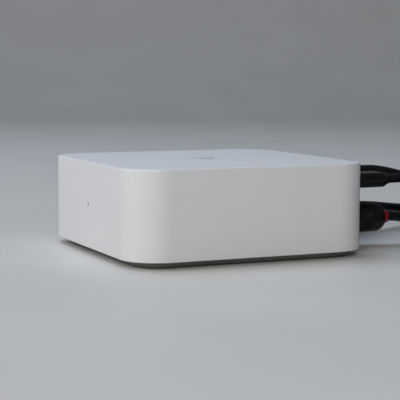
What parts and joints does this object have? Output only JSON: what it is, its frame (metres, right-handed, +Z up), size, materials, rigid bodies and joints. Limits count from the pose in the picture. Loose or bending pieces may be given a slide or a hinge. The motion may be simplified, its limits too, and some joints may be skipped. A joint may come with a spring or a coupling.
{
  "type": "streaming media player",
  "caption": "Square white streaming media player on a dark bevelled base, with black power, video, audio and network leads in its back, coiled behind it.",
  "frame": {"origin": "centre of the player's footprint, on the surface that it stands on", "axes": "+Z up. The status light is in the front, which faces -Y. The sockets are in the back, which faces +Y. +X is to the right for someone who looks at the front."},
  "size_m": [0.1167, 0.2839, 0.036],
  "materials": {
    "white_plastic": "satin white moulded plastic with a very fine texture",
    "base_plastic": "dark grey moulded plastic, satin",
    "foot_rubber": "matte non-slip rubber",
    "black_plastic": "black moulded plastic, satin",
    "cable_jacket": "black cable jacket and plug overmould, soft satin",
    "red_plastic": "red moulded ring, satin gloss",
    "emblem": "smooth gloss inlay, slightly cooler than the top",
    "light_pipe": "smoked clear plastic light guide, unlit",
    "clear_plastic": "clear network plug body",
    "circuit_board": "green solder mask over glass fibre",
    "chip_plastic": "black moulded component",
    "steel": "nickel-plated steel",
    "aluminium": "satin extruded aluminium",
    "gold_contact": "gold-plated contact"
  },
  "bodies": {
    "player": {"housing": "white_plastic", "top_emblem": "emblem", "base_plate": "base_plastic", "rubber_foot": "foot_rubber", "rear_panel": "black_plastic", "base_screw_rear_right": "steel", "base_screw_rear_left": "steel", "base_screw_front_left": "steel", "base_screw_front_right": "steel", "main_board": "circuit_board", "socket_board": "circuit_board", "front_board": "circuit_board", "board_screw_rear_left": "steel", "board_screw_front_right": "steel", "main_processor": "chip_plastic", "wireless_module": "aluminium", "antenna": "circuit_board", "heat_sink": "aluminium", "fan_housing": "black_plastic", "status_led": "light_pipe", "light_pipe": "light_pipe", "ir_receiver": "chip_plastic", "power_socket": "steel", "hdmi_socket": "steel", "audio_socket": "black_plastic", "audio_socket_barrel": "steel", "ethernet_socket": "black_plastic", "reset_switch": "chip_plastic", "power_plug_body": "cable_jacket", "power_plug_shell": "steel", "supply_plug_body": "cable_jacket", "supply_plug_shell": "steel", "audio_plug_sleeve": "black_plastic", "audio_plug_pin": "gold_contact", "audio_plug_colour_ring": "red_plastic", "audio_far_plug_sleeve": "black_plastic", "audio_far_plug_pin": "gold_contact", "audio_far_plug_colour_ring": "red_plastic", "hdmi_plug_body": "cable_jacket", "hdmi_plug_shell": "steel", "hdmi_far_plug_body": "cable_jacket", "hdmi_far_plug_shell": "steel", "ethernet_plug_boot": "cable_jacket", "ethernet_plug_nose": "clear_plastic", "ethernet_far_plug_boot": "cable_jacket", "ethernet_far_plug_nose": "clear_plastic", "power_cord": "cable_jacket", "power_cord_coil": "cable_jacket", "power_cord_tail": "cable_jacket", "audio_cord": "cable_jacket", "audio_cord_coil": "cable_jacket", "audio_cord_tail": "cable_jacket", "hdmi_cord": "cable_jacket", "hdmi_cord_coil": "cable_jacket", "hdmi_cord_tail": "cable_jacket", "ethernet_cord": "cable_jacket", "ethernet_cord_coil": "cable_jacket", "ethernet_cord_tail": "cable_jacket"},
    "fan_rotor": {"fan_rotor": "black_plastic"},
    "reset_button": {"reset_button": "black_plastic"}
  },
  "joints": [
    {"name": "fan_spin", "type": "hinge", "parent": "player", "child": "fan_rotor", "pos_m": [0, -0.014, 0.026], "axis": [0, 0, 1], "continuous": true},
    {"name": "reset_press", "type": "slide", "parent": "player", "child": "reset_button", "axis": [0, -1, 0], "range_m": [0, 0.0005], "stiffness_N_per_m": 300, "springref_m": -0.0005}
  ]
}
